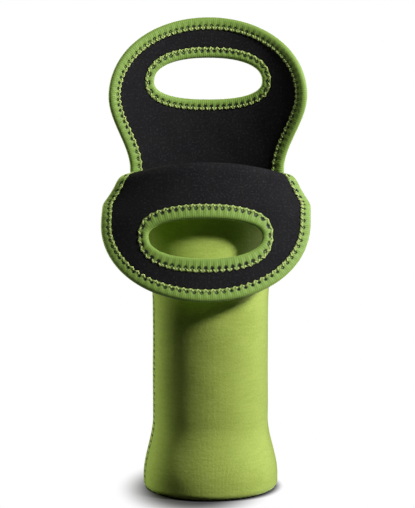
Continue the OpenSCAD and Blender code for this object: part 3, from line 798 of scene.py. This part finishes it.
edge_pitch = {}
for side, word in SIDES:
    path = edge_path(side, BAND_LOW[side])
    edge_pitch[side] = even_pitch(path[3], EDGE_PITCH[side])
    body = "front_flap" if side == FRONT else None
    tip = 1.0 if side == FRONT else rounded(np.minimum(path[1], path[3] - path[1]))
    name = f"{word}_flap"
    pieces = bind(name, side, path, EDGE_BAND_W, edge_pitch[side], body, name, tip=tip)
    if side == BACK:
        for piece in (*flap_pieces[word], *pieces):
            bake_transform(piece)
    path = grip_path(side)
    grip_pitch = even_pitch(path[3], GRIP_PITCH)
    more, name = GRIP_MORE[side], f"{word}_grip"
    grip = bind(name, side, path, GRIP_BAND_W[side], grip_pitch, f"{word}_flap", name, True, more, reach=1.3)
    for piece in pieces[1:]:
        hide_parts(f"{word}_flap_stitching")
    for piece in grip[1:]:
        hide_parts(f"{word}_grip_stitching")
    print(word, "edge pitch", round(edge_pitch[side], 2), "grip pitch", round(grip_pitch, 2))

# %% [markdown]
# ## Bindings on the fold
# The same band runs down past the fold on both sides and ends at the side seams, where the two
# panels part. It follows the fold round and is a piece of its own, baked in place like the skins
# beside it. Its lower end is free and rounded.

# %% Fold bands
FOLD_BAND_LOW, FOLD_BAND_ROWS = 9.0, 50
for sign, word in ENDS:
    h = np.linspace(FOLD_BAND_LOW, ROOT_H[FRONT], FOLD_BAND_ROWS)
    p = np.stack([sign * strip_half_w(np.maximum(h, FOLD_RISE)), h], -1)
    inward = np.stack([np.full_like(h, -sign), 0 * h], -1)
    length = ROOT_H[FRONT] - FOLD_BAND_LOW
    path = (p, h - FOLD_BAND_LOW, inward, length)
    name, tip = f"{word}_fold", rounded(h - FOLD_BAND_LOW)
    pitch = edge_pitch[FRONT]
    for piece in bind(name, FRONT, path, EDGE_BAND_W, pitch, None, "front_fold", s_from=-length, tip=tip):
        bend_strip(piece, *sorted((sign * FOLD_CUTS[-2], sign * FOLD_CUTS[-1])), BAND_TURN)
print("fold bands", round(length, 1), "mm each")

# %% [markdown]
# ## Seams of the sleeve
# The panels meet edge to edge, and a flat zigzag holds them, with one thread on the green side and
# one on the black. The thread dips into a needle hole at each turn and crosses the groove between.

# %% Side seams
STITCH_HALF_W = 2.5


def seam_place(sign, v, across, depth):
    t = sign * (1 - np.abs(across) / wall_at(v)[1])
    front, back = sleeve_point(FRONT, t, v, depth), sleeve_point(BACK, t, v, depth)
    return np.where((across < 0)[..., None], front, back)


def seam_line(sign, outside):
    def at(s, step, height):
        across = STITCH_HALF_W * (2 * step - 1)
        return seam_place(sign, SEAM_START_V + s, across, -height if outside else PANEL_T + height)

    return at


seam_legs = int(2 * (SLEEVE_V - SPLIT_H - 1 - SEAM_START_V) / SEAM_PITCH)
for sign, word in ENDS:
    for outside, face in FACES:
        name, at = f"{word}_seam_thread_{face}_side", seam_line(sign, outside)
        piece = thread(name, at, seam_legs, SEAM_PITCH, size=(0.4, 0.32), body="sleeve")
        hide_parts(f"{word}_seam_stitching")
print("side seams", seam_legs, "legs")

# %% Base seam
BASE_STITCH_HALF_W = 2.4
# Under the base the thread lies up in the groove, so that the cloth rests on the floor.
UNDER_Z, UNDER_FLATTER = 0.42, 0.3


def base_line(outside):
    def at(s, step, height):
        a = s / BASE_R
        r = BASE_R + BASE_STITCH_HALF_W * (2 * step - 1)
        z = UNDER_Z - UNDER_FLATTER * height if outside else PANEL_T + height
        return np.stack([r * np.cos(a), r * np.sin(a), z], -1)

    return at


base_round = 2 * math.pi * BASE_R
base_pitch = even_pitch(base_round, SEAM_PITCH)
base_legs = round(2 * base_round / base_pitch)
for outside, face in FACES:
    rest = {"size": (0.5, 0.22), "ring": True, "body": "sleeve"}
    piece = thread(f"base_seam_thread_{face}_side", base_line(outside), base_legs, base_pitch, **rest)
    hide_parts("base_seam_stitching")
print("base seam", base_legs, "legs")

# %% [markdown]
# ## Writing a finish
# Every finish is made of nodes, so that it needs no picture. Sums of nodes are hard to read as
# calls, so a small class wraps a socket and lets + - * / add the Math nodes. Any other node comes
# from one method that takes its type, its settings and its inputs.

# %% Wire
class Wire:
    """The value of a socket, ready for sums."""

    def __init__(self, finish, socket):
        self.finish, self.socket = finish, socket

    def sum(self, how, a, b):
        return self.finish.node("ShaderNodeMath", {"operation": how}, {0: a, 1: b})

    def __add__(self, other):
        return self.sum("ADD", self, other)

    def __radd__(self, other):
        return self.sum("ADD", other, self)

    def __sub__(self, other):
        return self.sum("SUBTRACT", self, other)

    def __rsub__(self, other):
        return self.sum("SUBTRACT", other, self)

    def __mul__(self, other):
        return self.sum("MULTIPLY", self, other)

    def __rmul__(self, other):
        return self.sum("MULTIPLY", other, self)

    def __truediv__(self, other):
        return self.sum("DIVIDE", self, other)

    def __rtruediv__(self, other):
        return self.sum("DIVIDE", other, self)

# %% Finish
class Finish:
    """A material under construction, with one Principled shader."""

    def __init__(self, name):
        self.material = bpy.data.materials.new(name)
        self.material.use_nodes = True
        self.tree = self.material.node_tree
        self.tree.nodes.clear()
        self.shader = self.tree.nodes.new("ShaderNodeBsdfPrincipled")
        self.output = self.tree.nodes.new("ShaderNodeOutputMaterial")
        self.tree.links.new(self.shader.outputs[0], self.output.inputs[0])

    def give(self, target, values):
        for key, value in values.items():
            if isinstance(value, Wire):
                self.tree.links.new(value.socket, target.inputs[key])
            else:
                target.inputs[key].default_value = value

    def node(self, kind, settings=None, values=None, out=0):
        made = self.tree.nodes.new(kind)
        for key, value in (settings or {}).items():
            setattr(made, key, value)
        self.give(made, values or {})
        return Wire(self, made.outputs[out])

    def one(self, how, value):
        return self.node("ShaderNodeMath", {"operation": how}, {0: value})

    def vector(self, how, a, b=(0, 0, 0), out=0):
        return self.node("ShaderNodeVectorMath", {"operation": how}, {0: a, 1: b}, out)

    def mark(self, name):
        return self.node("ShaderNodeAttribute", {"attribute_name": name}, out="Fac")

    def between(self, value, low, high):
        settings = {"interpolation_type": "SMOOTHSTEP"}
        return self.node("ShaderNodeMapRange", settings, {"Value": value, "From Min": low, "From Max": high})

    def pattern(self):
        """The place on the pattern, and its two lengths."""
        place = self.node("ShaderNodeUVMap", {"uv_map": "pattern"})
        return place, *(self.node("ShaderNodeSeparateXYZ", None, {0: place}, out) for out in (0, 1))

    def noise(self, place, scale, detail=2.0, roughness=0.5):
        values = {"Vector": place, "Scale": scale, "Detail": detail, "Roughness": roughness}
        return self.node("ShaderNodeTexNoise", {"noise_dimensions": "3D"}, values)

    def mix(self, share, a, b):
        """Colour a, and b over it by a share."""
        values = {"Factor": share, 6: (*a, 1) if isinstance(a, tuple) else a, 7: (*b, 1)}
        return self.node("ShaderNodeMix", {"data_type": "RGBA"}, values, out=2)

    def bump(self, height, distance, strength=1.0, below=None):
        values = {"Height": height, "Distance": distance, "Strength": strength}
        if below is not None:
            values["Normal"] = below
        return self.node("ShaderNodeBump", None, values)

    def paint(self, colour, normal, roughness, specular, sheen, sheen_rough, sheen_tint):
        self.give(self.shader, {"Base Color": colour, "Normal": normal, "Roughness": roughness})
        self.give(self.shader, {"Specular IOR Level": specular, "Sheen Weight": sheen})
        self.give(self.shader, {"Sheen Roughness": sheen_rough, "Sheen Tint": (*sheen_tint, 1)})
        return self.material

# %% [markdown]
# ## Jersey
# Jersey is a fine knit: on its face side, columns of small V-shaped loops stand side by side, about
# one to a millimetre. The loops go into a bump, because they are far too many to model. The yarn
# takes dye a little unevenly: a large noise gives soft clouds, a fine one mottles, and one that is
# drawn out along the rows of loops gives short streaks. Loose fibre ends catch the light, so the
# shader has some sheen. The needle holes in a panel come from two marks on its mesh, the distance
# to the line of holes and the count of stitches along it: each hole is a dent in the bump and a
# nearly black dot of painted shade in the colour.

# %% Knit and needle holes
TURN = 2 * math.pi


def knit(finish, u, v, wale=0.95, course=0.8):
    across = finish.one("FRACT", u / (wale * MM))
    ridge = 1 - finish.one("ABSOLUTE", across * 2 - 1)
    row = finish.one("SINE", (v / (course * MM) + ridge * 0.8) * TURN)
    return finish.one("SQRT", ridge) * (0.75 + 0.25 * row)


# Closeness to a needle hole, from 0 to 1, used for painted shade in the holes.
def needle_hole_shade(finish, pitch=5.0):
    off = (finish.one("FRACT", finish.mark("needle_row") + 0.5) - 0.5) * pitch
    aside = finish.mark("needle_side") - FAR_OFF
    apart = finish.one("SQRT", aside * aside + off * off)
    return 1 - finish.between(apart, 0.8, 1.65)

# %% Green jersey
def jersey_green():
    finish = Finish("green_jersey")
    place, u, v = finish.pattern()
    loops = knit(finish, u, v)
    cloudy = finish.noise(place, 38.0, 3.0)
    streaky = finish.noise(finish.vector("MULTIPLY", place, (0.25, 1.0, 1.0)), 330.0, 2.0, 0.6)
    mottled = finish.noise(place, 520.0, 2.0, 0.6)
    colour = finish.mix(finish.between(cloudy, 0.3, 0.7), (0.438, 0.572, 0.096), (0.398, 0.522, 0.080))
    colour = finish.mix(finish.between(mottled, 0.36, 0.68) * 0.40, colour, (0.500, 0.650, 0.150))
    colour = finish.mix(finish.between(streaky, 0.38, 0.66) * 0.24, colour, (0.285, 0.410, 0.045))
    colour = finish.mix((1 - loops) * 0.25, colour, (0.215, 0.305, 0.030))
    # Painted shade: each needle hole is a nearly black dot in the colour, and the same mask dents the bump.
    hole_shade_and_dent = needle_hole_shade(finish)
    colour = finish.mix(hole_shade_and_dent * 0.92, colour, (0.020, 0.034, 0.002))
    soft = finish.bump(cloudy, 0.0012, 0.35)
    fine = finish.bump(loops * 0.5 + mottled * 0.9 + streaky * 0.8, 0.00035, 0.6, soft)
    holes = finish.bump(1 - hole_shade_and_dent, 0.0006, 0.9, fine)
    return finish.paint(colour, holes, 0.7, 0.25, sheen=0.8, sheen_rough=0.42, sheen_tint=(0.72, 1.0, 0.36))

# %% Black jersey
def jersey_black():
    finish = Finish("black_jersey")
    place, u, v = finish.pattern()
    loops = knit(finish, u, v, 0.9, 0.75)
    cloudy = finish.noise(place, 55.0, 3.0)
    grainy = finish.noise(place, 560.0, 2.0, 0.7)
    colour = finish.mix(finish.between(cloudy, 0.3, 0.7), (0.0190, 0.0191, 0.0193), (0.0235, 0.0235, 0.0232))
    colour = finish.mix(finish.between(grainy, 0.50, 0.72) * 0.55, colour, (0.060, 0.062, 0.064))
    colour = finish.mix((1 - loops) * 0.5, colour, (0.004, 0.004, 0.004))
    # Painted shade: a nearly black dot at each needle hole.
    colour = finish.mix(needle_hole_shade(finish) * 0.95, colour, (0.001, 0.001, 0.001))
    fine = finish.bump(loops * 0.8 + grainy * 0.6, 0.00022, 0.5, finish.bump(cloudy, 0.0010, 0.3))
    return finish.paint(colour, fine, 0.9, 0.04, sheen=0.01, sheen_rough=0.4, sheen_tint=(0.95, 0.97, 1.0))

# %% [markdown]
# ## Binding and thread
# The binding is the same green knit, cut across and stretched round the edge, so its ribs run
# across the band and it looks a little cooler than the panels. The thread is two plies with a
# slight shine. Both are painted nearly black where the needle went through, as painted shade in
# the holes, by the mark that their meshes carry.

# %% Binding and thread
def binding_cloth():
    finish = Finish("binding")
    place, u, _ = finish.pattern()
    grainy = finish.noise(place, 1000.0, 2.0, 0.7)
    cloudy = finish.noise(place, 60.0, 2.0)
    rib = finish.one("SINE", (u / (1.7 * MM) + cloudy * 0.8) * TURN) * 0.5 + 0.5
    colour = finish.mix(finish.between(cloudy, 0.3, 0.7), (0.205, 0.375, 0.050), (0.175, 0.335, 0.040))
    colour = finish.mix(rib * 0.24 + grainy * 0.25, colour, (0.400, 0.560, 0.130))
    # Painted shade: the band is painted nearly black round each needle hole.
    hole = finish.between(finish.mark("hole"), 0.13, 0.42)
    colour = finish.mix(hole * 0.97, colour, (0.006, 0.011, 0.001))
    fine = finish.bump(rib * 0.8 + grainy * 0.5, 0.00016, 0.7)
    return finish.paint(colour, fine, 0.6, 0.35, sheen=0.8, sheen_rough=0.4, sheen_tint=(0.84, 1.0, 0.40))


def sewing_thread():
    finish = Finish("thread")
    _, u, v = finish.pattern()
    ply = finish.one("SINE", (u / (1.3 * MM) + v / (1.2 * MM)) * TURN) * 0.5 + 0.5
    colour = finish.mix(ply * 0.5, (0.440, 0.560, 0.150), (0.560, 0.670, 0.250))
    # Painted shade: the thread is painted nearly black where it dives into a needle hole.
    hole = finish.between(finish.mark("hole"), 0.25, 0.95)
    colour = finish.mix(hole * 0.92, colour, (0.020, 0.030, 0.004))
    fine = finish.bump(ply, 0.00012, 0.6)
    return finish.paint(colour, fine, 0.55, 0.4, sheen=0.12, sheen_rough=0.35, sheen_tint=(0.95, 1.0, 0.75))

# %% Give each piece its finish
finishes = {
    "green_jersey": jersey_green(),
    "black_jersey": jersey_black(),
    "binding": binding_cloth(),
    "thread": sewing_thread(),
}
dressed = 0
for piece in bpy.data.objects:
    word = piece.get("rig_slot")
    if piece.type == "MESH" and word in finishes:
        piece.data.materials.clear()
        piece.data.materials.append(finishes[word])
        dressed += 1
slot_of = {s["node"]: s["material_slot"] for s in frame["record"]["subparts"]}
for node, piece in frame["nodes"].items():
    piece.data.materials.clear()
    piece.data.materials.append(finishes[slot_of[node]])
print("pieces dressed", dressed, "nodes dressed", len(slot_of))

# %% [markdown]
# ## Floor, light and camera
# The photograph is a plain white studio shot, so the floor and the air answer the camera as white.
# Only beside the carrier the camera sees a nearly black matt paper instead, which is a painted
# shadow: the lamps' real shade darkens it further at the foot, and its edge fades by place: an
# image behind the object could give the same, but not from every side.
# For the rays that light the object, the floor is nearly black and the air too, so that the
# dark side stays as deep as in the photograph and only the lamps light the cloth.

# %% Floor
# The dark paper, a painted shadow, shows inside an oval a little to the left of the foot, and everywhere
# close to the foot.
SHADOW_OVAL_AT, SHADOW_OVAL_SIZE, SHADOW_OVAL_EDGE = (0.013, 0.008, 0.0), (0.050, 0.076, 1000.0), (0.62, 1.30)
FOOT_SHADOW_EDGE = (0.051, 0.060)


def make_floor(half=9):
    mesh = bpy.data.meshes.new("floor")
    corners = [(-half, -half, 0), (half, -half, 0), (half, half, 0), (-half, half, 0)]
    mesh.from_pydata(corners, [], [(0, 1, 2, 3)])
    floor = bpy.data.objects.new("floor", mesh)
    bpy.context.scene.collection.objects.link(floor)
    finish = Finish("studio_floor")
    place = finish.node("ShaderNodeNewGeometry")
    oval = finish.vector("DIVIDE", finish.vector("ADD", place, SHADOW_OVAL_AT), SHADOW_OVAL_SIZE)
    flat = finish.vector("MULTIPLY", place, (1.0, 1.0, 0.0))
    far = finish.between(finish.vector("LENGTH", oval, out=1), *SHADOW_OVAL_EDGE)
    near = finish.between(finish.vector("LENGTH", flat, out=1), *FOOT_SHADOW_EDGE)
    white = finish.node("ShaderNodeEmission", None, {"Color": (1, 1, 1, 1), "Strength": 1.0})
    # Painted shadow: a nearly black matt paper for the camera beside the foot, which the lamps still light
    # and shade.
    painted_shadow_paper = finish.node("ShaderNodeBsdfDiffuse", None, {"Color": (0.09, 0.09, 0.09, 1)})
    seen = finish.node("ShaderNodeMixShader", None, {0: far.sum("MINIMUM", far, near), 1: painted_shadow_paper, 2: white})
    dull = finish.node("ShaderNodeBsdfDiffuse", None, {"Color": (0.03, 0.03, 0.03, 1)})
    kinds = ("Is Camera Ray", "Is Glossy Ray", "Is Transmission Ray")
    camera_ray, glossy_ray, through_ray = (finish.node("ShaderNodeLightPath", out=kind) for kind in kinds)
    direct = camera_ray + glossy_ray + through_ray
    final = finish.node("ShaderNodeMixShader", None, {0: direct, 1: dull, 2: seen})
    finish.tree.nodes.remove(finish.shader)
    finish.tree.links.new(final.socket, finish.output.inputs[0])
    mesh.materials.append(finish.material)
    floor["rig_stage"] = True


make_floor()
print("floor made")

# %% World
world = bpy.data.worlds.new("studio")
bpy.context.scene.world = world
world.use_nodes = True
tree = world.node_tree
tree.nodes.clear()
ray, choose = tree.nodes.new("ShaderNodeLightPath"), tree.nodes.new("ShaderNodeMixShader")
sky = tree.nodes.new("ShaderNodeOutputWorld")
tree.links.new(ray.outputs["Is Camera Ray"], choose.inputs[0])
for socket, strength in ((1, 0.005), (2, 1.0)):
    air = tree.nodes.new("ShaderNodeBackground")
    air.inputs["Color"].default_value = (1, 1, 1, 1)
    air.inputs["Strength"].default_value = strength
    tree.links.new(air.outputs[0], choose.inputs[socket])
tree.links.new(choose.outputs[0], sky.inputs[0])
print("world made")

# %% [markdown]
# The key lamp stands high on the right and throws the flap's shadow down the sleeve. A low lamp
# further round on the right reaches the sleeve's right edge, a weak one high on the left fills
# the shadows, and a low one behind on the left outlines the dark side. The slight tints pull the
# green a little warmer or cooler, as in the photograph.

# %% Lamps
AIM = Vector((0, 0, 0.19))


def look(thing, place, aim):
    """Put a lamp or the camera at a place and turn it towards another."""
    thing.location = place
    thing.rotation_euler = (aim - thing.location).to_track_quat("-Z", "Y").to_euler()
    bpy.context.scene.collection.objects.link(thing)


def soft_lamp(name, azimuth, elevation, distance, size, watts, colour):
    """A square lamp. Azimuth is in degrees from the camera's side, to the right as seen."""
    a, e = math.radians(azimuth), math.radians(elevation)
    data = bpy.data.lights.new(name, "AREA")
    data.shape, data.size, data.energy, data.color = "SQUARE", size, watts, colour
    out = Vector((math.cos(e) * math.sin(a), -math.cos(e) * math.cos(a), math.sin(e)))
    look(bpy.data.objects.new(name, data), AIM + distance * out, AIM)


soft_lamp("key_lamp", 62.5, 33, 1.6, 0.26, 30.0, (1.04, 1.0, 1.08))
soft_lamp("side_lamp", 114, 8, 1.4, 0.5, 9.0, (1.06, 1.0, 1.12))
soft_lamp("fill_lamp", -42, 60, 1.6, 0.7, 3.4, (1.0, 1.0, 1.0))
soft_lamp("rim_lamp", -127, 9, 1.4, 0.5, 15.0, (0.94, 1.0, 0.50))

# %% [markdown]
# The camera's place and lens come from the sizes of the foot, the mouth and the flaps in the
# photograph: nearly two metres away with a long lens, and about nine degrees above level.

# %% Camera
CAMERA_AT, CAMERA_AIM = Vector((-0.0024, -1.850, 0.478)), Vector((-0.0024, 0, 0.1901))
view = bpy.data.cameras.new("camera")
view.sensor_fit, view.sensor_width, view.lens = "AUTO", 36.0, 165.94
view.clip_start, view.clip_end = 0.05, 50.0
camera = bpy.data.objects.new("camera", view)
look(camera, CAMERA_AT, CAMERA_AIM)
bpy.context.scene.camera = camera
bpy.context.scene.view_settings.view_transform = "Standard"
print("camera at", [round(x, 3) for x in camera.location])

# %% [markdown]
# ## Size and finish
# The dressed carrier must keep the measured model's size, so both boxes are written down.

# %% Compare the boxes
bpy.context.view_layer.update()
dressed_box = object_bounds()


def plain(box):
    return [[float(x) for x in corner] for corner in box]


for word, box in (("measured", cad_box), ("dressed", dressed_box)):
    print(word, "box in mm", [[round(x / MM, 1) for x in corner] for corner in plain(box)])
